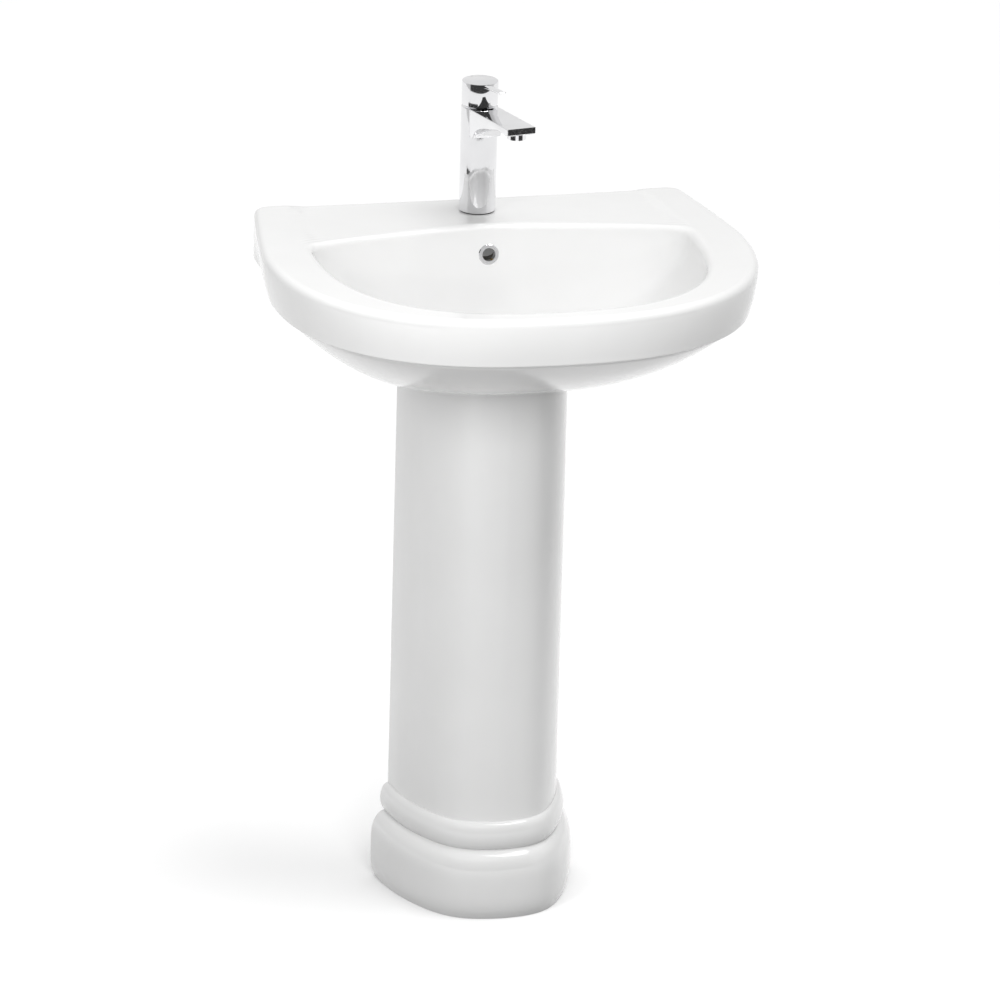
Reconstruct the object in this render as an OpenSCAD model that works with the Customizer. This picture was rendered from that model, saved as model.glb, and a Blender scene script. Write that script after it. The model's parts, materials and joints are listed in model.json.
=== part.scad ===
// Pedestal washbasin with a single-lever mixer tap, waste, bottle trap and hollow column.
// Millimetres, Z up.  The floor is Z = 0, the wall is at +Y and the front of the bowl faces -Y.

/* [Basin] */
// Height of the rim above the floor
rim_height = 830; // [800:5:870]
// Overall width across the widest line of the rim
basin_width = 586; // [570:2:610]
// Distance from the wall to the front of the rim
basin_depth = 490; // [480:2:510]
// Depth of the bowl below the rim
bowl_depth = 134; // [125:1:136]
// Height of the upright band round the rim
band_height = 60; // [50:1:66]
// Radius of the rounding along the top outer edge
edge_round = 9; // [5:1:11]
// How far the tap deck lies below the side rims
deck_drop = 2; // [2:0.5:5]

/* [Pedestal] */
// Half width of the column
column_half = 103; // [101:1:106]
// Wall thickness of the hollow column
column_wall = 13; // [10:1:15]
// How far the foot stands out beyond the column
foot_reach = 20.5; // [14:0.5:24]
// How far the ring moulding stands out
ring_reach = 9.5; // [6:0.5:12]

/* [Tap] */
// Distance of the tap axis from the wall
tap_back = 52; // [50:1:56]
// Angle that the spout points away from straight ahead
tap_turn = 10; // [-15:1:15]
// Height of the tap body above the deck
body_height = 131; // [131:1:140]
// Radius of the tap body
body_r = 22; // [22:0.5:23]
// Distance from the tap axis to the tip of the spout
spout_reach = 125; // [115:1:140]
// Width of the spout
spout_width = 37; // [30:1:38]
// Distance from the tap axis to the tip of the lever
lever_reach = 68; // [50:1:75]

/* [Waste] */
// Distance of the waste outlet from the wall
waste_back = 200; // [199:1:202]
// Radius of the plug cap
plug_r = 28; // [26:1:30]
// Outer radius of the outlet pipe
pipe_r = 16; // [15:0.5:16]

/* [Hidden] */
$fn = 64;

// basin plan, measured on rays from the waste centre
wall_y = basin_depth / 2;
waste_y = wall_y - waste_back;
half_width = basin_width / 2;
front_len = basin_depth - waste_back;
side_flare = 31;
front_power = 2.4;
corner_power = 48;
bowl_half = 230;
bowl_front = front_len - 36;
bowl_back = waste_back - 113;
bowl_power = 2.6;
bowl_side = 1.5;
inner_round = 10;
core_r = 18;
under_depth = bowl_depth + 24;
apron_height = 125;
apron_wall = 14;
deck_thick = 18.5;
roof = deck_drop + deck_thick;
rib = 22;
quarter_rays = [0, 8, 15, 21, 27, 32, 35, 36.5, 37.4, 38.4, 40, 44, 50, 57, 64, 70, 75, 80, 85];
half_turn_rays = concat(quarter_rays, [90], [for (i = [len(quarter_rays) - 1:-1:1]) 180 - quarter_rays[i]]);
ray_angles = concat([for (a = [-180:7.5:-7.5]) a], half_turn_rays);

// fixings in the basin
deck_z = rim_height - deck_drop;
tap_y = wall_y - tap_back;
tap_hole_r = 17.5;
overflow_drop = 38;
overflow_y = wall_y - 115.5;
overflow_tilt = 8;
overflow_r = 8;
channel_r = 5;
wall_hole_x = 140;
wall_hole_drop = 62;
wall_hole_r = 7;
waste_hole_r = 23;
flange_r = 32;
flange_seat = 4.5;

// column plan, measured on rays from a point inside the column
column_centre = 150;
column_front = 96;
column_behind = 62;
oblique_x = 0.856;
oblique_y = 0.517;
oblique_far = column_half * oblique_x + 5 * oblique_y;
plan_power = 6;
column_top = rim_height - under_depth;
groove_z = 84;
ring_z = 101;
ring_half = 18;
foot_z = 38;
foot_half = 46;
foot_groove = 4;
column_levels = concat([0, 4, 14, 26, 38, 50, 60, 68, 74, 79, 82], [for (a = [-70:20:70]) ring_z + ring_half * sin(a)],
    [ring_z + ring_half, column_top]);
plan_steps = 36;
lug_x = 84;
lug_back = 110;
lug_high = 14;
lug_hole_r = 4;

// tap, heights above the deck
gasket = 1.5;
cavity_r = 17.6;
cavity_h = 90;
pivot_h = 112;
housing_h = 120;
cap_r = 21.8;
cap_h = body_height + 2.5;
cap_top = cap_h + 29;
dome_r = 27.4;
dome_gap = 0.4;
lever_lift = 20;
inlet_x = 9.5;
inlet_y = -3;
inlet_r = 5;
stud_y = 11;
stud_r = 4;
spout_rise = 7;
tip_thick = 9;
aerator_y = spout_reach - 14;
aerator_r = 11.5;
stem_r = 4.2;
stem_top = cap_h + 17;
screw_h = cap_h + 12;

// waste and trap
flange_top = rim_height - bowl_depth - 0.5;
tube_r = 20;
tube_bore = 17;
tube_long = 75;
trap_z = 560;
trap_r = 27;
trap_low = 505;
cup_low = 455;
stub_long = 52;
outlet_grip = 60;

// ---- plan and section formulas ----

function ease(x, a, b) = let (u = min(1, max(0, (x - a) / (b - a)))) u * u * (3 - 2 * u);

function mix(a, b, w) = a + (b - a) * w;

// half width of the rim at g in front of the wall side of the waste centre
function half_at(g) = half_width - side_flare * pow(min(g, waste_back) / waste_back, 1.25);

// the straight side is met by stepping to it from the widest line
function side_ray(c, s, r, n) = n == 0 ? r : side_ray(c, s, half_at(r * s) / c, n - 1);

function power_ray(c, s, a, b, p) = pow(pow(c / a, p) + pow(s / b, p), -1 / p);

function outer_ray(t) = let (c = max(0.001, abs(cos(t))), s = sin(t))
    s <= 0 ? power_ray(c, -s, half_width, front_len, front_power)
    : let (w = side_ray(c, s, min(half_width / c, waste_back / s), 12) * c)
      power_ray(c, s, w, waste_back, corner_power);

// the back edge of the bowl bends forward a little toward its two corners
function inner_ray(t) = let (c = abs(cos(t)), s = sin(t))
    s <= 0 ? power_ray(c, -s, bowl_half, bowl_front, 2.5)
    : power_ray(c, s + 0.165 * c * c, bowl_half, bowl_back, 9);

// the apron against the wall hangs lower than the band
function band_low(t) = band_height + (apron_height - band_height) * ease(sin(t), 0.62, 0.78);

function band_inset(t) = 9 * (1 - ease(sin(t), 0.42, 0.58));

// the deck and the bowl lie between two slightly raised side rims
function top_z(x, y) = let (f = wall_y - y, edge = 218 + 10 * ease(f, 0, 120))
    -deck_drop * ease(edge - abs(x), 0, 9) * (1 - ease(f, 130, 190));

function bowl_z(s, high, deep) = -high - (deep - high) * pow(max(0, 1 - pow(s, bowl_power)), 1 / bowl_side);

// the underside is flat where the column stands and rises to the band
function hull_point(t, u) = let (c = abs(cos(t)), s = abs(sin(t)), a = power_ray(c, s, 110, 58, 4),
        b = outer_ray(t) - 20, low = band_height + 4)
    [a + (b - a) * u, -low - (under_depth - low) * pow(max(0, 1 - pow(u, 1.6)), 1 / 1.12)];

// behind the bowl the underside is an open cavity below the deck
function shell_point(t, s) = let (r = core_r + (inner_ray(t) + 16 - core_r) * s,
        bump = rib * (1 - ease(abs(cos(t)), 0.2, 0.34)) * ease(s, 0.1, 0.6))
    [r + (s > 0.98 ? 0 : bump), bowl_z(s, roof, under_depth)];

function under_points(t) = let (w = ease(sin(t), 0.45, 0.66), low = band_low(t), r = outer_ray(t) - apron_wall,
        front = [for (u = [1, 0.92, 0.8, 0.65, 0.5, 0.3, 0.14, 0]) hull_point(t, u)],
        back = concat([[r, -low], [r, -roof]], [for (s = [1, 0.96, 0.88, 0.72, 0.5, 0.25]) shell_point(t, s)]))
    [for (i = [0:7]) mix(front[i], back[i], w)];

// one closed section of the basin, from the waste hole up the bowl, over the rim and back below,
// with a drip groove between the band and the underside
function basin_ray(t) = let (inner = inner_ray(t), outer = outer_ray(t), low = band_low(t), inset = band_inset(t),
        rim_in = inner + inner_round, rim_out = outer - edge_round,
        rim = [for (k = [0, 0.12, 0.3, 0.55, 0.8, 1])
            let (r = mix(rim_in, rim_out, k)) [r, top_z(r * cos(t), waste_y + r * sin(t))]],
        lip = rim[0][1], edge = rim[5][1])
    concat(
        [for (s = [0, 0.3, 0.5, 0.65, 0.78, 0.88, 0.94, 0.98, 1])
            [mix(core_r, inner, s), bowl_z(s, inner_round, bowl_depth)]],
        [for (a = [30, 60]) [rim_in - inner_round * cos(a), lip - (inner_round + lip) * (1 - sin(a))]],
        rim,
        [for (a = [30, 60, 90]) [rim_out + edge_round * sin(a), edge - (edge_round + edge) * (1 - cos(a))]],
        [[outer - 0.2 * inset, -mix(edge_round, low, 0.5)], [outer - 0.7 * inset, 8 - low],
            [outer - inset - 1, 2 - low], [outer - inset - 4, -low],
            [outer - inset - 5.5, inset - low], [outer - inset - 8, inset - low]],
        under_points(t),
        [[core_r, -under_depth]]);

// column plan: two sides, two oblique faces and a bowed front, all softly rounded together
function plan_ray(t, off) = let (c = abs(cos(t)), s = sin(t), q = plan_power)
    pow(pow(c / (column_half + off), q)
        + pow(max(0, oblique_x * c + oblique_y * s) / (oblique_far + off), q)
        + pow(max(0, s) / (column_front + off), q), -1 / q);

function plan_path(off) = let (start = atan(column_behind / (column_half + off)))
    [for (i = [0:plan_steps]) let (t = -start + (180 + 2 * start) * i / plan_steps, r = plan_ray(t, off))
        [r * cos(t), wall_y - column_centre - r * sin(t)]];

function foot_off(z) = foot_groove
    + (foot_reach - foot_groove) * pow(max(0, 1 - pow(abs(z - foot_z) / foot_half, 3.5)), 0.625);

function ring_off(z) = ring_reach * sqrt(max(0, 1 - pow((z - ring_z) / ring_half, 2)));

function column_off(z) = z < groove_z ? foot_off(z) : ring_off(z);

function hollow_off(z) = -column_wall + (column_wall + foot_groove) * (1 - ease(z, 52, 80));

function column_section(z) = let (out = plan_path(column_off(z)), hollow = plan_path(hollow_off(z)))
    [for (p = concat(out, [for (i = [plan_steps:-1:0]) hollow[i]])) [p[0], p[1], z]];

// ---- ceramic ----

module ray_body(rays, sections) {
    n = len(rays);
    m = len(sections[0]);
    points = [for (i = [0:n - 1]) for (p = sections[i])
        [p[0] * cos(rays[i]), waste_y + p[0] * sin(rays[i]), rim_height + p[1]]];
    faces = [for (i = [0:n - 1]) for (k = [0:m - 1]) let (j = (i + 1) % n, l = (k + 1) % m)
        each [[i * m + k, j * m + k, j * m + l], [i * m + k, j * m + l, i * m + l]]];
    polyhedron(points, faces, convexity = 8);
}

module overflow_axis() {
    translate([0, overflow_y, rim_height - overflow_drop]) rotate([90 - overflow_tilt, 0, 0]) children();
}

module basin() {
    color("white") difference() {
        ray_body(ray_angles, [for (t = ray_angles) basin_ray(t)]);
        translate([0, waste_y, rim_height - under_depth - 1]) cylinder(r = waste_hole_r, h = 60);
        translate([0, waste_y, flange_top - flange_seat + 0.5]) cylinder(r = flange_r + 1.5, h = 20);
        translate([0, tap_y, deck_z - deck_thick - 5]) cylinder(r = tap_hole_r, h = deck_thick + 10);
        overflow_axis() translate([0, 0, -15]) cylinder(r = overflow_r + 1.7, h = 30);
        overflow_axis() cylinder(r = 13.5, h = 12);
        overflow_channel();
        for (side = [-1, 1]) translate([side * wall_hole_x, wall_y + 5, rim_height - wall_hole_drop])
            rotate([90, 0, 0]) cylinder(r = wall_hole_r, h = apron_wall + 12);
    }
}

// passage from the overflow down the thick rib behind the bowl to the waste
module overflow_channel() {
    bend_y = wall_y - 110;
    channel_leg([overflow_y + 12, overflow_drop], [bend_y, 106]);
    channel_leg([bend_y + 3, 99], [waste_y + 18, under_depth - 11]);
}

module channel_leg(from, to) {
    run = to[0] - from[0];
    fall = to[1] - from[1];
    translate([0, from[0], rim_height - from[1]]) rotate([180 + atan2(-run, fall), 0, 0])
        cylinder(r = channel_r, h = sqrt(run * run + fall * fall));
}

module pedestal() {
    m = 2 * plan_steps + 2;
    n = len(column_levels);
    points = [for (z = column_levels) each column_section(z)];
    sides = [for (i = [0:n - 2]) for (k = [0:m - 1]) let (l = (k + 1) % m)
        each [[i * m + k, (i + 1) * m + l, (i + 1) * m + k], [i * m + k, i * m + l, (i + 1) * m + l]]];
    bottom = [for (k = [0:plan_steps - 1]) let (l = m - 1 - k) each [[k, l - 1, k + 1], [k, l, l - 1]]];
    base = (n - 1) * m;
    top = [for (f = bottom) [base + f[2], base + f[1], base + f[0]]];
    color("white") difference() {
        union() {
            polyhedron(points, concat(sides, bottom, top), convexity = 8);
            for (side = [-1, 1]) mirror([side < 0 ? 1 : 0, 0, 0])
                translate([lug_x - 14, wall_y - lug_back - 16, 0]) cube([42, 32, lug_high]);
        }
        for (side = [-1, 1]) translate([side * lug_x, wall_y - lug_back, -1]) cylinder(r = lug_hole_r, h = lug_high + 2);
    }
}

module overflow_ring() {
    color("silver") overflow_axis() difference() {
        union() {
            rotate_extrude() polygon([[overflow_r, 0], [12.5, 0], [12.5, 0.8], [11.6, 1.6], [overflow_r, 1.6]]);
            translate([0, 0, -9]) cylinder(r = overflow_r + 1.5, h = 9.5);
        }
        translate([0, 0, -10]) cylinder(r = overflow_r, h = 14);
    }
}

// ---- tap ----

module at_tap() {
    translate([0, tap_y, deck_z]) rotate([0, 0, tap_turn]) children();
}

module ring(outer, inner, low, high) {
    translate([0, 0, low]) difference() {
        cylinder(r = outer, h = high - low);
        translate([0, 0, -1]) cylinder(r = inner, h = high - low + 2);
    }
}

module tap_base_gasket() {
    color("dimgray") at_tap() ring(body_r - 2, tap_hole_r - 0.3, 0, gasket);
}

// side view of the spout, drawn from the tap axis toward the tip
function spout_outline() = let (tip = body_height + spout_rise, low = tip - tip_thick)
    [[0, body_height], [body_r, body_height], [spout_reach, tip], [spout_reach, low + 1.5], [spout_reach - 1.5, low],
        [aerator_y - 14, low], [56, 119], [38, 113], [28, 106], [22, 97], [0, 97]];

module spout_plate(outline, width) {
    rotate([0, 0, -90]) translate([0, width / 2, 0]) rotate([90, 0, 0]) linear_extrude(height = width) polygon(outline);
}

module tap_body() {
    tip = body_height + spout_rise;
    color("silver") at_tap() difference() {
        union() {
            rotate_extrude() polygon([[0, gasket], [body_r - 0.5, gasket], [body_r, gasket + 0.5],
                [body_r, body_height - 0.5], [body_r - 0.5, body_height], [0, body_height]]);
            spout_plate(spout_outline(), spout_width);
        }
        translate([0, 0, cavity_h]) cylinder(r = cavity_r, h = 60);
        for (side = [-1, 1]) translate([side * inlet_x, inlet_y, 0]) {
            cylinder(r = inlet_r, h = 16);
            cylinder(r = 3.4, h = cavity_h + 1);
        }
        translate([0, stud_y, 0]) cylinder(r = stud_r, h = 22);
        spout_waterway(tip);
        translate([0, -aerator_y, tip - tip_thick - 4]) cylinder(r = 10, h = 8.5);
    }
}

module spout_waterway(tip) {
    mouth = tip - tip_thick / 2 - 0.6;
    spout_plate([[14, 96], [16, 91], [22, 101.5], [30, 113], [40, 120.5], [56, 124], [aerator_y - 12, mouth - 2],
        [aerator_y + 4, mouth - 2], [aerator_y + 4, mouth + 2], [aerator_y - 12, mouth + 2],
        [54, 128.5], [36, 125], [24, 115]], 15);
}

module tap_fixing_stud() {
    color("silver") at_tap() translate([0, stud_y, -80]) cylinder(r = stud_r - 0.05, h = 101);
}

module horseshoe(low, high) {
    translate([0, 0, low]) difference() {
        cylinder(r = 24, h = high - low);
        translate([-inlet_x - 6, -30, -1]) cube([2 * inlet_x + 12, 34, high - low + 2]);
        translate([0, stud_y, -1]) cylinder(r = stud_r + 0.3, h = high - low + 2);
    }
}

module tap_horseshoe_rubber() {
    color("dimgray") at_tap() horseshoe(-deck_thick - 2, -deck_thick);
}

module tap_horseshoe_washer() {
    color("silver") at_tap() horseshoe(-deck_thick - 5, -deck_thick - 2);
}

module tap_fixing_nut() {
    color("gold") at_tap() translate([0, stud_y, -deck_thick - 17]) difference() {
        cylinder(r = 7.5, h = 12, $fn = 6);
        translate([0, 0, -1]) cylinder(r = stud_r, h = 14);
    }
}

module cartridge_housing() {
    color("white") at_tap() difference() {
        translate([0, 0, cavity_h + 0.2]) cylinder(r = cavity_r - 0.2, h = housing_h - cavity_h - 0.2);
        translate([0, 0, cavity_h + 3.2]) cylinder(r = 15.2, h = housing_h - cavity_h - 6.2);
        cylinder(r = 9, h = housing_h + 5);
        for (side = [-1, 1]) translate([side * inlet_x, inlet_y, 0]) cylinder(r = 3.4, h = cavity_h + 5);
    }
}

module disc_ports(low, high) {
    for (side = [-1, 1]) translate([side * inlet_x, inlet_y, low - 1]) cylinder(r = 3, h = high - low + 2);
    translate([0, 8, low - 1]) cylinder(r = 3.5, h = high - low + 2);
}

module ceramic_disc_fixed() {
    low = cavity_h + 3.2;
    color("whitesmoke") at_tap() difference() {
        translate([0, 0, low]) cylinder(r = 15, h = 4);
        disc_ports(low, low + 4);
    }
}

module ceramic_disc_moving() {
    low = cavity_h + 7.25;
    color("whitesmoke") at_tap() difference() {
        translate([0, 0, low]) cylinder(r = 13, h = 3.75);
        translate([0, -2, low - 1]) cylinder(r = 7, h = 3);
    }
}

module cartridge_driver() {
    low = cavity_h + 11;
    color("white") at_tap() difference() {
        translate([0, 0, low]) cylinder(r = 14.9, h = housing_h - low - 3.4);
        translate([-stem_r - 0.2, -20, pivot_h - 6]) cube([2 * stem_r + 0.4, 40, 30]);
        translate([-20, 0, pivot_h]) rotate([0, 90, 0]) cylinder(r = 1.5, h = 40);
    }
}

module stem_pin() {
    color("silver") at_tap() translate([-13, 0, pivot_h]) rotate([0, 90, 0]) cylinder(r = 1.5, h = 26);
}

module cartridge_stem() {
    color("gold") at_tap() difference() {
        union() {
            translate([0, 0, pivot_h]) cylinder(r = stem_r, h = stem_top - pivot_h);
            translate([0, 0, pivot_h]) sphere(r = stem_r);
        }
        translate([-20, 0, pivot_h]) rotate([0, 90, 0]) cylinder(r = 1.55, h = 40);
    }
}

module cartridge_retaining_nut() {
    color("gold") at_tap() difference() {
        ring(cavity_r - 0.1, 12.5, housing_h, 128);
        for (a = [0:60:300]) rotate([0, 0, a]) translate([12, -1.6, 125]) cube([6.5, 3.2, 4]);
    }
}

module dome_ring() {
    color("silver") at_tap() {
        difference() {
            intersection() {
                translate([0, 0, pivot_h]) sphere(r = dome_r);
                translate([0, 0, body_height]) cylinder(r = dome_r, h = 4.5);
            }
            translate([0, 0, pivot_h]) sphere(r = dome_r - 1.5);
            cylinder(r = 14, h = 160);
        }
        ring(cavity_r - 0.1, 15.8, 128.1, body_height + 1);
    }
}

module lever_handle() {
    color("silver") at_tap() difference() {
        union() {
            rotate_extrude() polygon([[0, cap_h], [cap_r - 0.4, cap_h], [cap_r, cap_h + 0.4],
                [cap_r, cap_top - 1.2], [cap_r - 1.2, cap_top], [0, cap_top]]);
            spout_plate([[12, cap_top - 5.5], [lever_reach - 1, cap_top + 1.6], [lever_reach, cap_top + 2.6],
                [lever_reach - 1, cap_top + 3.6], [40, cap_top + 0.6], [12, cap_top - 1.8]], 9);
        }
        translate([0, 0, pivot_h]) sphere(r = dome_r + dome_gap);
        translate([0, 0, pivot_h]) cylinder(r = stem_r + 0.05, h = stem_top - pivot_h + 0.3);
        translate([0, 0, cap_h]) rotate([lever_lift - 2, 0, 0]) translate([-40, 0, -40]) cube([80, 60, 40]);
        translate([0, 0, screw_h]) rotate([-90, 0, 0]) cylinder(r = 2.5, h = 40);
        translate([0, cap_r - 2.5, screw_h]) rotate([-90, 0, 0]) cylinder(r = 3.5, h = 10);
    }
}

module lever_set_screw() {
    color("dimgray") at_tap() translate([0, 0, screw_h]) difference() {
        translate([0, stem_r + 0.1, 0]) rotate([-90, 0, 0]) cylinder(r = 2.45, h = 8);
        translate([0, stem_r + 5, 0]) rotate([-90, 0, 0]) cylinder(r = 1.4, h = 10, $fn = 6);
    }
}

module lever_indicator() {
    color("royalblue") at_tap() translate([0, cap_r - 2.4, screw_h]) intersection() {
        rotate([-90, 0, 0]) cylinder(r = 3.4, h = 4);
        translate([0, 2.4 - cap_r, -10]) cylinder(r = cap_r - 0.1, h = 20);
    }
}

module aerator_housing() {
    low = body_height + spout_rise - tip_thick;
    color("silver") at_tap() translate([0, -aerator_y, 0]) difference() {
        union() {
            translate([0, 0, low - 7]) cylinder(r = aerator_r, h = 7);
            translate([0, 0, low - 1]) cylinder(r = 9.9, h = 5);
        }
        translate([0, 0, low - 8]) cylinder(r = 8.5, h = 14);
    }
}

module aerator_insert() {
    low = body_height + spout_rise - tip_thick - 6;
    color("gray") at_tap() translate([0, -aerator_y, low]) difference() {
        cylinder(r = 8.45, h = 5);
        translate([0, 0, -1]) cylinder(r = 0.9, h = 7);
        for (a = [0:60:300]) rotate([0, 0, a]) translate([3, 0, -1]) cylinder(r = 0.9, h = 7);
        for (a = [15:30:345]) rotate([0, 0, a]) translate([6, 0, -1]) cylinder(r = 0.9, h = 7);
    }
}

// ---- waste and plug ----

module at_waste() {
    translate([0, waste_y, flange_top]) children();
}

module waste_body() {
    color("silver") at_waste() difference() {
        union() {
            rotate_extrude() polygon([[0, -2.5], [flange_r, -2.5], [flange_r, -1], [flange_r - 1.5, 0], [0, 0]]);
            translate([0, 0, -tube_long]) cylinder(r = tube_r, h = tube_long - 1);
            translate([0, 0, -14]) cylinder(r = tube_r + 2, h = 12);
        }
        translate([0, 0, -tube_long - 1]) cylinder(r = tube_bore, h = tube_long + 2);
        translate([0, 0, -2.5]) cylinder(r1 = tube_bore, r2 = tube_bore + 3.12, h = 2.6);
        for (a = [0:90:270]) rotate([0, 0, a]) translate([10, -4, -19]) cube([20, 8, 11]);
    }
}

module waste_seal() {
    color("dimgray") at_waste() ring(flange_r, tube_r + 2.2, -4, -2.5);
}

module waste_cone_seal() {
    low = column_top - flange_top;
    color("dimgray") at_waste() difference() {
        translate([0, 0, low - 6]) cylinder(r1 = 31, r2 = 27, h = 6);
        translate([0, 0, low - 7]) cylinder(r = tube_r + 0.1, h = 8);
    }
}

module waste_backnut() {
    low = column_top - flange_top - 6;
    color("gold") at_waste() translate([0, 0, low - 11]) difference() {
        cylinder(r = 31, h = 11, $fn = 6);
        translate([0, 0, -1]) cylinder(r = tube_r + 0.05, h = 13);
    }
}

module plug_guide() {
    color("white") at_waste() translate([0, 0, -34]) difference() {
        union() {
            ring(tube_bore - 0.05, tube_bore - 2, 0, 9);
            for (a = [0:120:240]) rotate([0, 0, a]) translate([5, -1.5, 1]) cube([tube_bore - 6, 3, 7]);
            cylinder(r = 7, h = 9);
        }
        translate([0, 0, -1]) cylinder(r = 4.08, h = 11);
    }
}

module plug_cap() {
    color("silver") at_waste() rotate_extrude() polygon([[0, 0.3], [plug_r - 0.5, 0.3], [plug_r, 0.8], [plug_r, 1.6],
        [plug_r - 2, 2.6], [plug_r * 0.6, 3.5], [0, 4]]);
}

module plug_seal() {
    color("dimgray") at_waste() ring(tube_bore + 1.2, tube_bore - 2, -1.2, 0.3);
}

module plug_stem() {
    color("gold") at_waste() translate([0, 0, -42]) cylinder(r = 4, h = 42.3);
}

// ---- bottle trap ----

module ribbed_nut(outer, inner, high) {
    difference() {
        union() {
            cylinder(r = outer, h = high);
            for (a = [0:30:330]) rotate([0, 0, a]) translate([outer - 1, -1.5, 0]) cube([2, 3, high]);
        }
        translate([0, 0, -1]) cylinder(r = inner, h = high + 2);
    }
}

module at_trap() {
    translate([0, waste_y, 0]) children();
}

module trap_inlet_nut() {
    low = flange_top - tube_long;
    color("silver") at_trap() translate([0, 0, low - 9]) difference() {
        ribbed_nut(25, pipe_r + 0.1, 22);
        translate([0, 0, 5]) cylinder(r = tube_r + 0.1, h = 20);
    }
}

module trap_inlet_seal() {
    low = flange_top - tube_long;
    color("dimgray") at_trap() ring(tube_r, pipe_r + 0.1, low - 4, low);
}

module trap_inlet_tube() {
    color("silver") at_trap() ring(pipe_r, pipe_r - 1.5, 480, flange_top - tube_long - 0.5);
}

module trap_body() {
    color("silver") at_trap() difference() {
        union() {
            translate([0, 0, trap_low]) cylinder(r = trap_r, h = 76);
            translate([0, 0, trap_low + 75]) cylinder(r1 = trap_r - 1, r2 = 21, h = 6);
            translate([0, 0, trap_low + 80]) cylinder(r = 21, h = 10);
            translate([0, 0, trap_z]) rotate([-90, 0, 0]) cylinder(r = 19, h = stub_long);
        }
        translate([0, 0, trap_low - 1]) cylinder(r = trap_r - 2.5, h = 73);
        translate([0, 0, trap_low + 60]) cylinder(r = pipe_r + 0.1, h = 40);
        translate([0, 0, trap_z]) rotate([-90, 0, 0]) cylinder(r = pipe_r - 1.5, h = stub_long + 1);
        translate([0, 32, trap_z]) rotate([-90, 0, 0]) cylinder(r = pipe_r + 0.1, h = stub_long);
    }
}

module trap_cup() {
    color("silver") at_trap() difference() {
        union() {
            translate([0, 0, cup_low + 4]) cylinder(r = trap_r + 3, h = 61);
            translate([0, 0, cup_low]) cylinder(r1 = trap_r - 2, r2 = trap_r + 3, h = 4);
            for (a = [0:20:340]) rotate([0, 0, a]) translate([trap_r + 2, -1.2, cup_low + 40]) cube([2, 2.4, 25]);
        }
        translate([0, 0, cup_low + 4]) cylinder(r = trap_r - 2.5, h = 80);
        translate([0, 0, trap_low - 2]) cylinder(r = trap_r + 0.1, h = 30);
    }
}

module trap_cup_seal() {
    color("dimgray") at_trap() ring(trap_r, trap_r - 2.4, trap_low - 2, trap_low);
}

module trap_outlet_nut() {
    color("silver") at_trap() translate([0, stub_long - 14, trap_z]) rotate([-90, 0, 0]) difference() {
        ribbed_nut(23.5, pipe_r + 0.1, 22);
        translate([0, 0, -1]) cylinder(r = 19.1, h = 18);
    }
}

module trap_outlet_seal() {
    color("dimgray") at_trap() translate([0, stub_long, trap_z]) rotate([-90, 0, 0]) ring(19, pipe_r + 0.1, 0, 3);
}

module trap_outlet_pipe() {
    color("silver") at_trap() translate([0, 0, trap_z]) rotate([-90, 0, 0]) {
        ring(pipe_r, pipe_r - 1.5, 33, waste_back);
        ring(pipe_r + 2, pipe_r - 1, waste_back - outlet_grip - 3, waste_back - outlet_grip);
    }
}

// ---- parts ----

basin();
pedestal();
overflow_ring();
tap_base_gasket();
tap_body();
tap_fixing_stud();
tap_horseshoe_rubber();
tap_horseshoe_washer();
tap_fixing_nut();
cartridge_housing();
ceramic_disc_fixed();
ceramic_disc_moving();
cartridge_driver();
stem_pin();
cartridge_stem();
cartridge_retaining_nut();
dome_ring();
lever_handle();
lever_set_screw();
lever_indicator();
aerator_housing();
aerator_insert();
waste_body();
waste_seal();
waste_cone_seal();
waste_backnut();
plug_guide();
plug_cap();
plug_seal();
plug_stem();
trap_inlet_nut();
trap_inlet_seal();
trap_inlet_tube();
trap_body();
trap_cup();
trap_cup_seal();
trap_outlet_nut();
trap_outlet_seal();
trap_outlet_pipe();
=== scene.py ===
"""Looks of the pedestal washbasin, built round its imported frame.

Metres, +Z up. The wall is at +Y, the front of the bowl faces -Y and the floor is Z = 0.
The basin and the column are made again as smooth surfaces, from the formulas of their CAD solids,
and the tap's body and lever with softened edges. Every other piece is the CAD node in its finish.
"""

import json
import math

import bmesh
import bpy
from mathutils import Matrix, Vector


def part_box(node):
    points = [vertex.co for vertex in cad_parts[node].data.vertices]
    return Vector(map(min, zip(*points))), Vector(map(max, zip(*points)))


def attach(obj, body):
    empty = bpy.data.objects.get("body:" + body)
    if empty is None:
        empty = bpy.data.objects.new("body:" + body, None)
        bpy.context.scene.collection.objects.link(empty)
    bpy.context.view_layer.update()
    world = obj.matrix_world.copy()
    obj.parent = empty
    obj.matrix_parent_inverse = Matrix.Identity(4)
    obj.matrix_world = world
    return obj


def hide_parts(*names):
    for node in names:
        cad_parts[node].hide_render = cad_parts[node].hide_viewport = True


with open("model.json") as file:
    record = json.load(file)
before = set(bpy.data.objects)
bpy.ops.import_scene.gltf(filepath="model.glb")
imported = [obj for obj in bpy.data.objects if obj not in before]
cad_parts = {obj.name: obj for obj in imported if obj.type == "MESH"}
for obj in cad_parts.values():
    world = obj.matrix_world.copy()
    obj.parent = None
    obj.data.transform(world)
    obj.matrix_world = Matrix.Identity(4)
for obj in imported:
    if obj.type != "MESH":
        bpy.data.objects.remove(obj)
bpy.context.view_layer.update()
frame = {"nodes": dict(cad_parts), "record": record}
scene = bpy.context.scene


# ---- sizes, most of them read from the frame ----

BOWL_FLOOR = 0.024          # thickness of the ceramic under the bowl, at the waste


def middle(node):
    low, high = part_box(node)
    return (low + high) / 2


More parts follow.
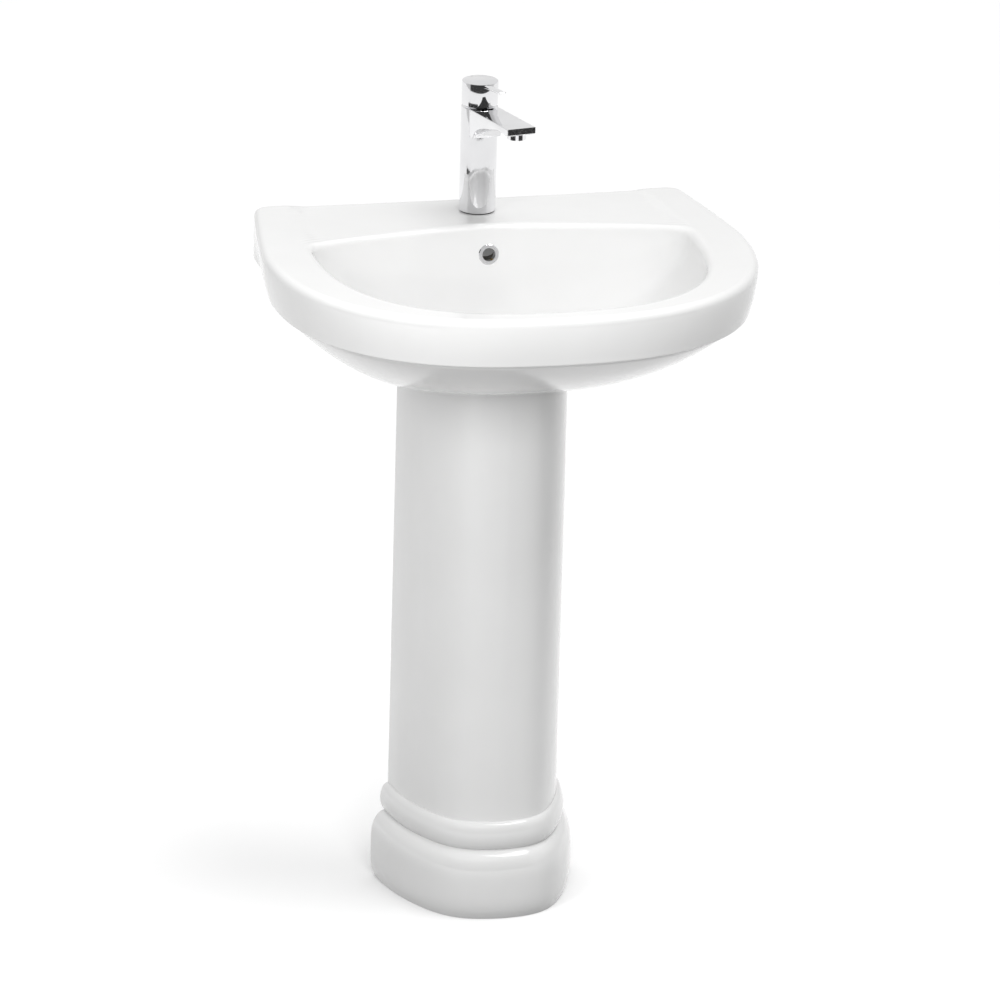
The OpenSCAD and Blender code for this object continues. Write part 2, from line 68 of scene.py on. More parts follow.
BASIN_LOW, BASIN_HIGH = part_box("basin")
WALL = BASIN_HIGH.y
RIM = BASIN_HIGH.z
HALF = BASIN_HIGH.x
DEPTH = BASIN_HIGH.y - BASIN_LOW.y
WASTE = middle("waste_body").to_2d()
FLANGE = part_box("waste_body")[1]
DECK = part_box("tap_base_gasket")[0].z
TAP = middle("tap_base_gasket").to_2d()
RING = middle("overflow_ring")
COLUMN_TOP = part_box("pedestal")[1].z
UNDER = RIM - COLUMN_TOP
WASTE_BACK = WALL - WASTE.y
BOWL = UNDER - BOWL_FLOOR
DROP = RIM - DECK
TURN = math.radians(10)     # how far the tap stands turned on the deck


# ---- formulas shared by the basin and the column ----

def ease(x, a, b):
    """A soft step from 0 at a to 1 at b."""
    u = min(1.0, max(0.0, (x - a) / (b - a)))
    return u * u * (3 - 2 * u)


def mix(a, b, w):
    return a + (b - a) * w


def mix_point(p, q, w):
    return mix(p[0], q[0], w), mix(p[1], q[1], w)


def power_ray(c, s, a, b, p):
    """How far a ray (c, s) goes to reach a superellipse with half-axes a and b."""
    return ((c / a) ** p + (s / b) ** p) ** (-1 / p)


def along(values, k):
    """The value at fractional index k of a list."""
    i = min(int(k), len(values) - 2)
    return mix(values[i], values[i + 1], k - i)


def steps(n):
    return [i / n for i in range(n + 1)]


# ---- basin ----

CORE = 0.023
SIDE_FLARE = 0.031
FRONT_LEN = DEPTH - WASTE_BACK
EDGE_ROUND = 0.009
INNER_ROUND = 0.010
BAND = 0.060
APRON = 0.125
ROOF = DROP + 0.0185
CAD_CORE = 0.018
BOWL_HALF = 0.230
FRONT_RIM = 0.036
BACK_RIM = 0.113
HULL_FOOT = (0.110, 0.058)
DECK_START = 0.218
DECK_TAPER = 0.010
DRIP = (0.0042, 0.0054, 0.008)
TAP_HOLE_R = 0.0175
OVERFLOW_R = 0.0097
OVERFLOW_TILT = math.radians(82)
WALL_HOLE_R = 0.007
WALL_HOLE_SIDE = 0.140
WALL_HOLE_DROP = 0.062
UPRIGHT_TO_Y = Matrix.Rotation(math.pi / 2, 4, "X")


# Rays go round the middle of the waste, with t = 0 along +X, and the heights are below the rim.

def outer_ray(t):
    c, s = max(0.001, abs(math.cos(t))), math.sin(t)
    if s <= 0:
        return power_ray(c, -s, HALF, FRONT_LEN, 2.4)
    r = min(HALF / c, WASTE_BACK / s)
    for _ in range(12):
        r = (HALF - SIDE_FLARE * (min(r * s, WASTE_BACK) / WASTE_BACK) ** 1.25) / c
    return power_ray(c, s, r * c, WASTE_BACK, 48)


def inner_ray(t):
    c, s = abs(math.cos(t)), math.sin(t)
    if s <= 0:
        return power_ray(c, -s, BOWL_HALF, FRONT_LEN - FRONT_RIM, 2.5)
    return power_ray(c, s + 0.165 * c * c, BOWL_HALF, WASTE_BACK - BACK_RIM, 9)


def band_low(t):
    return BAND + (APRON - BAND) * ease(math.sin(t), 0.62, 0.78)


def band_inset(t):
    return 0.009 * (1 - ease(math.sin(t), 0.42, 0.58))


def top_z(x, y):
    f = WALL - y
    edge = DECK_START + DECK_TAPER * ease(f, 0, 0.120)
    return -DROP * ease(edge - abs(x), 0, 0.009) * (1 - ease(f, 0.130, 0.190))


def bowl_z(s, high, deep):
    return -high - (deep - high) * max(0.0, 1 - s ** 2.6) ** (1 / 1.5)


def hull_point(t, u):
    a = power_ray(abs(math.cos(t)), abs(math.sin(t)), *HULL_FOOT, 4)
    b = outer_ray(t) - 0.020
    low = BAND + 0.004
    return a + (b - a) * u, -low - (UNDER - low) * max(0.0, 1 - u ** 1.6) ** (1 / 1.12)


def shell_point(t, s):
    r = CAD_CORE + (inner_ray(t) + 0.016 - CAD_CORE) * s
    bump = 0.022 * (1 - ease(abs(math.cos(t)), 0.2, 0.34)) * ease(s, 0.1, 0.6)
    return r + (0 if s > 0.98 else bump * ease(0.98 - s, 0, 0.03)), bowl_z(s, ROOF, UNDER)


def under_point(t, k):
    """A point of the underside, k going from 0 at the band to 7 near the waste."""
    front = hull_point(t, along([1, 0.92, 0.8, 0.65, 0.5, 0.3, 0.14, 0], k))
    r, low = outer_ray(t) - 0.014, band_low(t)
    if k < 1:
        back = r, -mix(low, ROOF, k)
    elif k < 2:
        back = mix_point((r, -ROOF), shell_point(t, 1), k - 1)
    else:
        back = shell_point(t, along([1, 0.96, 0.88, 0.72, 0.5, 0.25], k - 2))
    return mix_point(front, back, ease(math.sin(t), 0.45, 0.66))


def basin_section(t):
    """One closed section from the waste hole up the bowl, over the rim and back below."""
    inner, outer = inner_ray(t), outer_ray(t)
    low, inset = band_low(t), band_inset(t)
    rim_in, rim_out = inner + INNER_ROUND, outer - EDGE_ROUND
    seat = FLANGE.x + 0.0015
    seat_s = (seat - CAD_CORE) / (inner - CAD_CORE)
    ledge = FLANGE.z - RIM - 0.004
    points = [(CORE, ledge), (seat, ledge)]
    for k in steps(34):
        s = mix(seat_s, 1, 1 - (1 - k) ** 1.8)
        points.append((mix(CAD_CORE, inner, s), bowl_z(s, INNER_ROUND, BOWL)))
    c, y = math.cos(t), math.sin(t)
    lip = top_z(rim_in * c, WASTE.y + rim_in * y)
    for k in steps(8)[1:-1]:
        a = k * math.pi / 2
        fall = (INNER_ROUND + lip) * (1 - math.sin(a))
        points.append((rim_in - INNER_ROUND * math.cos(a), lip - fall))
    for k in steps(26):
        r = mix(rim_in, rim_out, k)
        points.append((r, top_z(r * c, WASTE.y + r * y)))
    edge = points[-1][1]
    for k in steps(8)[1:]:
        a = k * math.pi / 2
        fall = (EDGE_ROUND + edge) * (1 - math.cos(a))
        points.append((rim_out + EDGE_ROUND * math.sin(a), edge - fall))
    for k in steps(8)[1:]:
        points.append((outer - inset * 0.95 * k ** 1.7, -mix(EDGE_ROUND, low - 0.003, k)))
    for k in steps(4)[1:]:
        a = k * math.pi / 2
        points.append((outer - 0.95 * inset - 0.003 * (1 - math.cos(a)), -low + 0.003 * (1 - math.sin(a))))
    drip = [outer - inset - d for d in DRIP]
    points += [(drip[0], 0.0008 - low), (drip[1], inset - low), (drip[2], inset - low)]
    points += [under_point(t, 7 * k) for k in steps(42)]
    points.append((CORE, -UNDER))
    return points


def ray_angles():
    """Even steps round the basin, with closer ones at the two back corners."""
    corner = 37.4
    even = [i * 2.0 for i in range(180)]
    near = [c + d * 0.35 for c in (corner, 180 - corner) for d in range(-10, 11)]
    return [math.radians(a) for a in sorted(even + near)]


def add_object(name, data):
    ob = bpy.data.objects.new(name, data)
    scene.collection.objects.link(ob)
    return ob


def from_bmesh(name, bm):
    me = bpy.data.meshes.new(name)
    bm.to_mesh(me)
    bm.free()
    return add_object(name, me)


def mesh_object(name, verts, faces, sharp=35):
    me = bpy.data.meshes.new(name)
    me.from_pydata([tuple(v) for v in verts], [], faces)
    bm = bmesh.new()
    bm.from_mesh(me)
    bmesh.ops.remove_doubles(bm, verts=bm.verts, dist=1e-6)
    bmesh.ops.recalc_face_normals(bm, faces=bm.faces)
    bm.to_mesh(me)
    bm.free()
    ob = add_object(name, me)
    smooth(ob, sharp)
    return ob


def smooth(ob, sharp=35):
    ob.data.shade_smooth()
    ob.data.set_sharp_from_angle(angle=math.radians(sharp))


def settle(ob, sharp):
    """Makes the object's modifiers part of its mesh."""
    graph = bpy.context.evaluated_depsgraph_get()
    made = bpy.data.meshes.new_from_object(ob.evaluated_get(graph))
    ob.modifiers.clear()
    ob.data = made
    smooth(ob, sharp)


def lathe(name, outline, turns):
    """A turned piece from (radius, height) points about its own Z axis."""
    verts, faces = [], []
    n = len(outline)
    for i in range(turns):
        a = math.tau * i / turns
        verts += [(r * math.cos(a), r * math.sin(a), z) for r, z in outline]
    for i in range(turns):
        j = (i + 1) % turns
        faces += [(i * n + k, j * n + k, j * n + k + 1, i * n + k + 1) for k in range(n - 1)]
    return mesh_object(name, verts, faces)


def rod(name, radius, low, high, turns=64):
    return lathe(name, [(0, low), (radius, low), (radius, high), (0, high)], turns)


def place(ob, matrix):
    ob.data.transform(matrix)
    return ob


def cut(ob, cutters, sharp=35):
    """Takes the cutters away from the object; their finish lines the holes."""
    for c in cutters:
        m = ob.modifiers.new("cut", "BOOLEAN")
        m.operation = "DIFFERENCE"
        m.solver = "EXACT"
        m.object = c
        m.material_mode = "TRANSFER"
    settle(ob, sharp)
    for c in cutters:
        bpy.data.objects.remove(c)


def overflow_frame():
    """Maps a piece drawn along Z to the overflow's tilted axis."""
    spot = Vector((0, RING.y, RING.z))
    return Matrix.Translation(spot) @ Matrix.Rotation(OVERFLOW_TILT, 4, "X")


def build_basin():
    rays = ray_angles()
    sections = [basin_section(t) for t in rays]
    n = len(sections[0])
    verts = []
    for t, section in zip(rays, sections):
        verts += [(r * math.cos(t), WASTE.y + r * math.sin(t), RIM + z) for r, z in section]
    faces = []
    for i in range(len(rays)):
        j = (i + 1) % len(rays)
        faces += [(i * n + k, j * n + k, j * n + (k + 1) % n, i * n + (k + 1) % n) for k in range(n)]
    ob = mesh_object("basin_glazed", verts, faces)
    holes = [place(rod("tap_hole", TAP_HOLE_R, -0.03, 0.03), Matrix.Translation((*TAP, DECK)))]
    holes.append(place(rod("overflow_hole", OVERFLOW_R, -0.028, 0.03), overflow_frame()))
    # The overflow hole is lined in the near-black bisque finish: painted shade for the dark opening behind
    # the ring.
    paint(holes[-1], "bisque")
    for side in (-1, 1):
        spot = Matrix.Translation((side * WALL_HOLE_SIDE, WALL, RIM - WALL_HOLE_DROP))
        holes.append(place(rod("wall_hole", WALL_HOLE_R, -0.01, 0.03), spot @ UPRIGHT_TO_Y))
    cut(ob, holes)
    return ob


# ---- column ----

COLUMN_HALF = 0.103
COLUMN_CENTRE = WALL - 0.150
COLUMN_FRONT = 0.096
COLUMN_BEHIND = 0.062
COLUMN_WALL = 0.013
OBLIQUE = (0.856, 0.517)
OBLIQUE_FAR = COLUMN_HALF * OBLIQUE[0] + 0.005 * OBLIQUE[1]
PLAN_POWER = 6
SEAM = 0.084
FOOT_MIDDLE = 0.038
FOOT_REACH = 0.046
FOOT_SWELL = 0.0165
FOOT_STEP = 0.004
RING_Z = 0.101
RING_R = 0.018
RING_SWELL = 0.0095
LUG_SIZE = (0.042, 0.032, 0.014)
LUG_SIDE = 0.091
LUG_HOLE_SIDE = 0.084
LUG_HOLE_R = 0.004
LUG_Y = WALL - 0.110


def plan_ray(t, off):
    c, s = abs(math.cos(t)), math.sin(t)
    parts = [(c, COLUMN_HALF), (OBLIQUE[0] * c + OBLIQUE[1] * s, OBLIQUE_FAR), (s, COLUMN_FRONT)]
    return sum((max(0.0, v) / (d + off)) ** PLAN_POWER for v, d in parts) ** (-1 / PLAN_POWER)


def plan_path(off, count):
    start = math.atan(COLUMN_BEHIND / (COLUMN_HALF + off))
    path = []
    for k in steps(count):
        t = -start + (math.pi + 2 * start) * k
        r = plan_ray(t, off)
        path.append((r * math.cos(t), COLUMN_CENTRE - r * math.sin(t)))
    return path


def foot_off(z):
    return FOOT_STEP + FOOT_SWELL * max(0.0, 1 - (abs(z - FOOT_MIDDLE) / FOOT_REACH) ** 3.5) ** 0.625


def ring_off(z):
    return RING_SWELL * math.sqrt(max(0.0, 1 - ((z - RING_Z) / RING_R) ** 2))


def column_off(z):
    return foot_off(z) if z < SEAM else ring_off(z)


def hollow_off(z):
    return -COLUMN_WALL + (COLUMN_WALL + FOOT_STEP) * (1 - ease(z, 0.052, 0.080))


def column_levels():
    foot = [SEAM * (1 - (1 - k) ** 2.2) for k in steps(30)]
    ring = [RING_Z - RING_R * math.cos(math.pi * k) for k in steps(24)][1:]
    shaft = [mix(RING_Z + RING_R, COLUMN_TOP, k) for k in steps(12)][1:]
    low, high = SEAM - 0.0005, SEAM + 0.0002
    return [z for z in foot if z < low] + [SEAM - 0.0001] + [z for z in ring if z > high] + shaft


def build_column():
    count = 150
    levels = column_levels()
    m = 2 * count + 2
    verts = []
    for z in levels:
        out, hollow = plan_path(column_off(z), count), plan_path(hollow_off(z), count)
        verts += [(x, y, z) for x, y in out + hollow[::-1]]
    faces = []
    for i in range(len(levels) - 1):
        a, b = i * m, (i + 1) * m
        faces += [(a + k, a + (k + 1) % m, b + (k + 1) % m, b + k) for k in range(m)]
    for base in (0, (len(levels) - 1) * m):
        faces += [(base + k, base + k + 1, base + m - 2 - k, base + m - 1 - k) for k in range(count)]
    ob = mesh_object("column_glazed", verts, faces, 40)
    for side in (-1, 1):
        add_lug(ob, side)
    return ob


def add_lug(ob, side):
    lug = block("lug", (side * LUG_SIDE, LUG_Y, LUG_SIZE[2] / 2), LUG_SIZE, 0.002)
    spot = Matrix.Translation((side * LUG_HOLE_SIDE, LUG_Y, 0))
    cut(lug, [place(rod("lug_hole", LUG_HOLE_R, -0.01, 0.03, 32), spot)])
    join(ob, [lug])


def join(ob, others):
    """Takes the other objects' meshes into the first one's."""
    bm = bmesh.new()
    for o in [ob] + others:
        bm.from_mesh(o.data)
    bm.to_mesh(ob.data)
    bm.free()
    for o in others:
        bpy.data.objects.remove(o)


def block(name, centre, size, bevel):
    bm = bmesh.new()
    bmesh.ops.create_cube(bm, size=1, matrix=Matrix.Translation(centre) @ Matrix.Diagonal((*size, 1)))
    bmesh.ops.bevel(bm, geom=bm.edges[:], offset=bevel, segments=3, profile=0.5, affect="EDGES")
    ob = from_bmesh(name, bm)
    smooth(ob)
    return ob


# ---- tap ----

TAP_FRAME = Matrix.Translation((*TAP, DECK)) @ Matrix.Rotation(TURN, 4, "Z")
BODY_R = 0.022
BODY_TOP = 0.131
CAVITY_R = 0.0165
CAP_R = 0.0218
CAP_LOW = BODY_TOP + 0.0025
CAP_TOP = CAP_LOW + 0.029
SPOUT_WIDTH = 0.037
SPOUT_REACH = 0.125
BLADE_WIDTH = 0.009
BLADE_REACH = 0.068
DOME_R = 0.0278
DOME_Z = 0.112
LIFT_RELIEF = math.radians(18)


def plate(name, outline, width, bevel):
    """A flat piece from an outline of (distance forward, height), about the tap's middle plane."""
    bm = bmesh.new()
    verts = [bm.verts.new((-width / 2, -d, h)) for d, h in outline]
    face = bm.faces.new(verts)
    grown = bmesh.ops.extrude_face_region(bm, geom=[face])["geom"]
    bmesh.ops.translate(bm, vec=(width, 0, 0), verts=[v for v in grown if isinstance(v, bmesh.types.BMVert)])
    bmesh.ops.recalc_face_normals(bm, faces=bm.faces)
    rims = [e for e in bm.edges if abs(e.verts[0].co.x - e.verts[1].co.x) < 1e-9]
    bmesh.ops.bevel(bm, geom=rims, offset=bevel, segments=3, profile=0.5, affect="EDGES")
    ob = from_bmesh(name, bm)
    smooth(ob, 30)
    return ob


def build_tap_body():
    bottom = 0.0015
    outline = [(0.019, bottom), (BODY_R - 0.0006, bottom), (BODY_R, bottom + 0.0006),
               (BODY_R, BODY_TOP - 0.0007), (BODY_R - 0.0002, BODY_TOP - 0.0002),
               (BODY_R - 0.0007, BODY_TOP), (CAVITY_R, BODY_TOP), (CAVITY_R, 0.10)]
    ob = lathe("tap_body_chrome", outline, 160)
    tip = BODY_TOP + 0.007
    low = tip - 0.009
    side = [(0.010, BODY_TOP), (SPOUT_REACH, tip), (SPOUT_REACH, low + 0.0015), (SPOUT_REACH - 0.0015, low),
            (0.097, low), (0.056, 0.119), (0.038, 0.113), (0.028, 0.106), (BODY_R, 0.097), (0.010, 0.097)]
    spout = plate("spout", side, SPOUT_WIDTH, 0.0012)
    cut(spout, [rod("cavity", CAVITY_R, 0.09, 0.15)], sharp=30)
    join(ob, [spout])
    smooth(ob, 30)
    return place(ob, TAP_FRAME)


def dome_cutter():
    """The ball that hollows the cap so that it clears the dome ring below it."""
    bm = bmesh.new()
    bmesh.ops.create_uvsphere(bm, u_segments=64, v_segments=32, radius=DOME_R)
    return place(from_bmesh("hollow", bm), Matrix.Translation((0, 0, DOME_Z)))


def build_lever():
    outline = [(0, CAP_LOW), (CAP_R - 0.0005, CAP_LOW), (CAP_R, CAP_LOW + 0.0005), (CAP_R, CAP_TOP - 0.0014),
               (CAP_R - 0.0004, CAP_TOP - 0.0005), (CAP_R - 0.0013, CAP_TOP), (0, CAP_TOP + 0.0001)]
    ob = lathe("lever_cap_chrome", outline, 160)
    wedge = block("wedge", (0, 0.030, -0.020), (0.080, 0.060, 0.040), 0.0001)
    place(wedge, Matrix.Translation((0, 0, CAP_LOW)) @ Matrix.Rotation(LIFT_RELIEF, 4, "X"))
    seat = Matrix.Translation((0, CAP_R - 0.0025, CAP_LOW + 0.012)) @ Matrix.Rotation(-math.pi / 2, 4, "X")
    button = place(rod("button_seat", 0.0035, 0, 0.01, 48), seat)
    cut(ob, [dome_cutter(), wedge, button], sharp=30)
    near_end = BLADE_REACH - 0.001
    side = [(0.012, CAP_TOP - 0.0055), (near_end, CAP_TOP + 0.0016), (BLADE_REACH, CAP_TOP + 0.0026),
            (near_end, CAP_TOP + 0.0036), (0.040, CAP_TOP + 0.0006), (0.012, CAP_TOP - 0.0018)]
    join(ob, [plate("blade", side, BLADE_WIDTH, 0.0008)])
    smooth(ob, 30)
    return place(ob, TAP_FRAME)


# ---- materials ----

def new_material(name):
    mat = bpy.data.materials.new(name)
    mat.use_nodes = True
    tree = mat.node_tree
    return mat, tree, tree.nodes["Principled BSDF"]


def noise(tree, scale, detail=2.0, rough=0.5, stretch=(1, 1, 1)):
    coord = tree.nodes.new("ShaderNodeTexCoord")
    mapping = tree.nodes.new("ShaderNodeMapping")
    mapping.inputs["Scale"].default_value = stretch
    tex = tree.nodes.new("ShaderNodeTexNoise")
    tex.inputs["Scale"].default_value = scale
    tex.inputs["Detail"].default_value = detail
    tex.inputs["Roughness"].default_value = rough
    tree.links.new(coord.outputs["Object"], mapping.inputs["Vector"])
    tree.links.new(mapping.outputs["Vector"], tex.inputs["Vector"])
    return tex.outputs["Fac"]


def between(tree, fac, low, high):
    """A number that goes from low to high with fac."""
    node = tree.nodes.new("ShaderNodeMapRange")
    node.inputs["From Min"].default_value = 0.3
    node.inputs["From Max"].default_value = 0.7
    node.inputs["To Min"].default_value = low
    node.inputs["To Max"].default_value = high
    tree.links.new(fac, node.inputs["Value"])
    return node.outputs["Result"]


def shades(tree, fac, dark, light):
    """A colour that goes from dark to light with fac."""
    ramp = tree.nodes.new("ShaderNodeValToRGB")
    ramp.color_ramp.elements[0].position = 0.3
    ramp.color_ramp.elements[1].position = 0.7
    ramp.color_ramp.elements[0].color = (*dark, 1)
    ramp.color_ramp.elements[1].color = (*light, 1)
    tree.links.new(fac, ramp.inputs["Fac"])
    return ramp.outputs["Color"]


def bump(tree, shader, height, strength, distance):
    node = tree.nodes.new("ShaderNodeBump")
    node.inputs["Strength"].default_value = strength
    node.inputs["Distance"].default_value = distance
    tree.links.new(height, node.inputs["Height"])
    tree.links.new(node.outputs["Normal"], shader.inputs["Normal"])


def glaze():
    """White vitreous glaze: faint pooling in its tone and a very slight waviness."""
    mat, tree, shader = new_material("glaze")
    tone = shades(tree, noise(tree, 9, 3), (0.69, 0.69, 0.687), (0.715, 0.715, 0.713))
    tree.links.new(tone, shader.inputs["Base Color"])
    tree.links.new(between(tree, noise(tree, 60, 4), 0.09, 0.16), shader.inputs["Roughness"])
    shader.inputs["IOR"].default_value = 1.52
    shader.inputs["Coat Weight"].default_value = 0.35
    shader.inputs["Coat Roughness"].default_value = 0.05
    bump(tree, shader, noise(tree, 38, 1), 0.10, 0.0006)
    return mat


def chrome():
    """Polished chrome with a faint haze of fine wiping marks."""
    mat, tree, shader = new_material("chrome")
    shader.inputs["Metallic"].default_value = 1
    tone = shades(tree, noise(tree, 25, 3), (0.80, 0.80, 0.81), (0.86, 0.86, 0.87))
    tree.links.new(tone, shader.inputs["Base Color"])
    haze = between(tree, noise(tree, 300, 4, 0.6, (1, 1, 0.15)), 0.03, 0.08)
    tree.links.new(haze, shader.inputs["Roughness"])
    bump(tree, shader, noise(tree, 90, 1), 0.04, 0.0003)
    return mat


def metal(name, dark, light, low, high, stretch):
    """Bare metal with a drawn-out grain; low and high bound its roughness."""
    mat, tree, shader = new_material(name)
    shader.inputs["Metallic"].default_value = 1
    grain = noise(tree, 400, 5, 0.6, stretch)
    tree.links.new(shades(tree, grain, dark, light), shader.inputs["Base Color"])
    tree.links.new(between(tree, grain, low, high), shader.inputs["Roughness"])
    bump(tree, shader, grain, 0.12, 0.0003)
    return mat


def soft(name, dark, light, low, high):
    """Rubber, plastic or unglazed ceramic with a fine grain; low and high bound its roughness."""
    grain = 180
    mat, tree, shader = new_material(name)
    tree.links.new(shades(tree, noise(tree, grain / 8, 3), dark, light), shader.inputs["Base Color"])
    tree.links.new(between(tree, noise(tree, grain, 3), low, high), shader.inputs["Roughness"])
    bump(tree, shader, noise(tree, grain * 4, 3), 0.15, 0.0003)
    return mat


MATERIALS = {
    "ceramic": glaze(),
    # bisque is near black, far darker than the white ceramic body: painted shade inside the holes it lines.
    "bisque": soft("bisque", (0.10, 0.095, 0.085), (0.16, 0.15, 0.135), 0.7, 0.9),
    "chrome": chrome(),
    "rubber": soft("rubber", (0.018, 0.018, 0.018), (0.035, 0.035, 0.034), 0.6, 0.8),
    "steel": metal("steel", (0.45, 0.45, 0.46), (0.62, 0.62, 0.62), 0.22, 0.40, (1, 1, 0.05)),
    "dark_steel": metal("dark_steel", (0.10, 0.10, 0.11), (0.18, 0.18, 0.19), 0.3, 0.45, (1, 1, 0.2)),
    "brass": metal("brass", (0.55, 0.38, 0.15), (0.74, 0.54, 0.25), 0.2, 0.36, (1, 1, 0.08)),
    "white_plastic": soft("white_plastic", (0.72, 0.72, 0.70), (0.80, 0.80, 0.78), 0.35, 0.5),
    "grey_plastic": soft("grey_plastic", (0.16, 0.165, 0.17), (0.22, 0.225, 0.235), 0.35, 0.5),
    "blue_plastic": soft("blue_plastic", (0.03, 0.10, 0.38), (0.05, 0.15, 0.48), 0.15, 0.3),
    "disc_ceramic": soft("disc_ceramic", (0.78, 0.75, 0.70), (0.84, 0.81, 0.76), 0.2, 0.3),
}


def paint(ob, slot):
    """Gives the object's first slot this finish and keeps any other slot it has."""
    if not ob.data.materials:
        ob.data.materials.append(None)
    ob.data.materials[0] = MATERIALS[slot]


def carry_over():
    """Gives each CAD node that stays on show its slot's finish."""
    for part in frame["record"]["subparts"]:
        ob = frame["nodes"][part["node"]]
        for s in ob.material_slots:
            s.link = "OBJECT"
            s.material = MATERIALS[part["material_slot"]]


def show(ob, body, slot, *nodes):
    """Puts a piece on its body, in its finish, in place of CAD nodes."""
    paint(ob, slot)
    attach(ob, body)
    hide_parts(*nodes)


# ---- stage ----

FLOOR_SIZE = 80
WHITE_BEHIND = 0.85
WHITE_BESIDE = 0.60
ROOM = 0.05                 # the strength of the dark side that the photographer stands on
CAMERA_TURN = 14
CAMERA_TILT = 18.75
CAMERA_ROLL = 1.5
CAMERA_FAR = 14.4
LENS = 432
AIM_RIGHT = 0.0396          # from the middle of the basin's back edge
AIM_DOWN = 0.3654
FLAG_FAR = 1.2
FLAG_LOW = 0.572
FLAG_HIGH = 0.69


def flat(name, height, tone):
    """A square sheet of floor, in a plain grey of this tone."""
    me = bpy.data.meshes.new(name)
    w = FLOOR_SIZE / 2
    me.from_pydata([(-w, -w, height), (w, -w, height), (w, w, height), (-w, w, height)], [], [(0, 1, 2, 3)])
    ob = add_object(name, me)
    mat, tree, shader = new_material(name)
    shader.inputs["Base Color"].default_value = (tone, tone, tone, 1)
    shader.inputs["Roughness"].default_value = 0.9
    shader.inputs["Specular IOR Level"].default_value = 0.0
    me.materials.append(mat)
    return ob


def facing(spot, target):
    """A matrix at spot whose -Z looks at target."""
    turn = (Vector(target) - Vector(spot)).to_track_quat("-Z", "Y").to_matrix().to_4x4()
    return Matrix.Translation(spot) @ turn


def area_light(name, spot, target, size, power):
    data = bpy.data.lights.new(name, "AREA")
    data.shape = "RECTANGLE"
    data.size, data.size_y = size
    data.energy = power
    ob = add_object(name, data)
    ob.matrix_world = facing(spot, target)
    ob.visible_glossy = False


def sun_light(name, come_from, strength, softness):
    data = bpy.data.lights.new(name, "SUN")
    data.energy = strength
    data.angle = math.radians(softness)
    ob = add_object(name, data)
    ob.matrix_world = facing(come_from, (0, 0, 0))


def number(tree, operation, *values):
    """A math node; each value is a number or another node's output."""
    node = tree.nodes.new("ShaderNodeMath")
    node.operation = operation
    for socket, value in zip(node.inputs, values):
        if isinstance(value, (int, float)):
            socket.default_value = value
        else:
            tree.links.new(value, socket)
    return node.outputs[0]


def smooth_step(tree, value, start, end):
    node = tree.nodes.new("ShaderNodeMapRange")
    node.interpolation_type = "SMOOTHSTEP"
    node.inputs["From Min"].default_value = start
    node.inputs["From Max"].default_value = end
    tree.links.new(value, node.inputs["Value"])
    return node.outputs["Result"]


def build_studio():
    """A studio that is white behind, paler at the sides and dark in front, where the room is."""
    world = bpy.data.worlds.new("studio")
    scene.world = world
    world.use_nodes = True
    tree = world.node_tree
    coord = tree.nodes.new("ShaderNodeTexCoord")
    split = tree.nodes.new("ShaderNodeSeparateXYZ")
    tree.links.new(coord.outputs["Generated"], split.inputs["Vector"])
    x, y, z = split.outputs
    round_to = number(tree, "ARCTAN2", x, number(tree, "MULTIPLY", y, -1.0))
    aside = number(tree, "ABSOLUTE", number(tree, "ADD", round_to, math.radians(CAMERA_TURN)))
    above = smooth_step(tree, z, 0.50, 0.62)
    beside = number(tree, "MAXIMUM", above, smooth_step(tree, aside, math.radians(57), math.radians(67)))
    behind = smooth_step(tree, aside, math.radians(80), math.radians(110))
    pale = number(tree, "MULTIPLY", beside, WHITE_BESIDE - ROOM)
    bright = number(tree, "MULTIPLY", behind, WHITE_BEHIND - WHITE_BESIDE)
    strength = number(tree, "ADD", number(tree, "ADD", pale, bright), ROOM)
    tree.links.new(strength, tree.nodes["Background"].inputs["Strength"])
    tree.nodes["Background"].inputs["Color"].default_value = (1, 1, 1, 1)


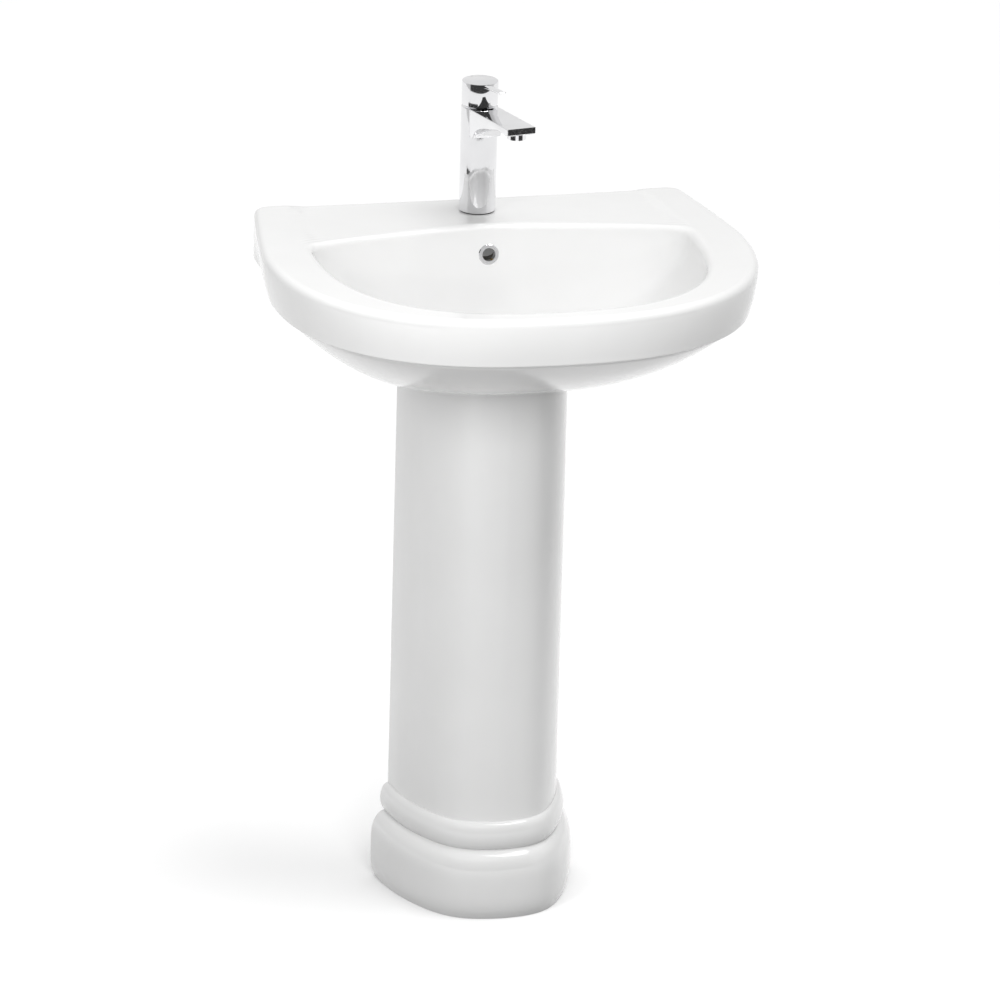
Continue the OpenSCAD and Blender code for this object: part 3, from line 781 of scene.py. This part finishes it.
def black_flag(name, start, end):
    """A curved black card in front of the tap, seen in reflections alone."""
    count = 24
    verts = []
    for k in steps(count):
        a = math.radians(mix(start, end, k))
        x, y = TAP.x + FLAG_FAR * math.sin(a), TAP.y - FLAG_FAR * math.cos(a)
        verts += [(x, y, FLAG_LOW), (x, y, FLAG_HIGH)]
    me = bpy.data.meshes.new(name)
    me.from_pydata(verts, [], [(2 * i, 2 * i + 2, 2 * i + 3, 2 * i + 1) for i in range(count)])
    ob = add_object(name, me)
    mat, tree, shader = new_material(name)
    shader.inputs["Base Color"].default_value = (0.01, 0.01, 0.01, 1)
    me.materials.append(mat)
    ob.visible_camera = False
    ob.visible_diffuse = False
    ob.visible_shadow = False


def build_floor():
    """A white floor to stand on, whose light comes back up as from a grey one."""
    floor = flat("floor", 0, 0.90)
    floor.visible_diffuse = False
    floor.visible_shadow = False
    grey = flat("floor_bounce", -0.002, 0.24)
    grey.visible_camera = False
    grey.visible_glossy = False
    grey.visible_shadow = False


def build_stage():
    build_floor()
    build_studio()
    black_flag("flag_left", -88, -24)
    black_flag("flag_right", 8, 56)
    sun_light("key", (0.80, -0.60, 2.6), 1.45, 38)
    area_light("front_box", (-0.25, -2.3, 1.6), (0, -0.1, 0.5), (0.8, 1.4), 16)
    area_light("side_box", (-2.0, -1.7, 1.5), (0, 0, 0.45), (1.0, 1.6), 31)
    area_light("basin_box", (-0.25, -1.55, 1.5), (0, -0.1, 0.80), (0.9, 0.5), 8)


def build_camera():
    """A long lens from the left of straight ahead, looking a little down and tipped slightly clockwise."""
    azimuth, elevation, roll = (math.radians(v) for v in (-CAMERA_TURN, CAMERA_TILT, CAMERA_ROLL))
    right = Vector((math.cos(azimuth), math.sin(azimuth), 0))
    level = Vector((math.sin(azimuth), -math.cos(azimuth), 0))
    back = level * math.cos(elevation) + Vector((0, 0, math.sin(elevation)))
    up = back.cross(right)
    rolled = right * math.cos(roll) + up * math.sin(roll)
    upright = up * math.cos(roll) - right * math.sin(roll)
    aim = Vector((0, WALL, RIM)) + rolled * AIM_RIGHT - upright * AIM_DOWN
    data = bpy.data.cameras.new("camera")
    data.lens = LENS
    data.sensor_width = 36
    data.clip_end = 100
    ob = add_object("camera", data)
    turn = Matrix((rolled, upright, back)).transposed().to_4x4()
    ob.matrix_world = Matrix.Translation(aim + back * CAMERA_FAR) @ turn
    scene.camera = ob


carry_over()
show(build_basin(), "sink", "ceramic", "basin")
show(build_column(), "sink", "ceramic", "pedestal")
show(build_tap_body(), "sink", "chrome", "tap_body")
show(build_lever(), "tap_lever", "chrome", "lever_handle")
build_stage()
build_camera()
scene.view_settings.view_transform = "Standard"
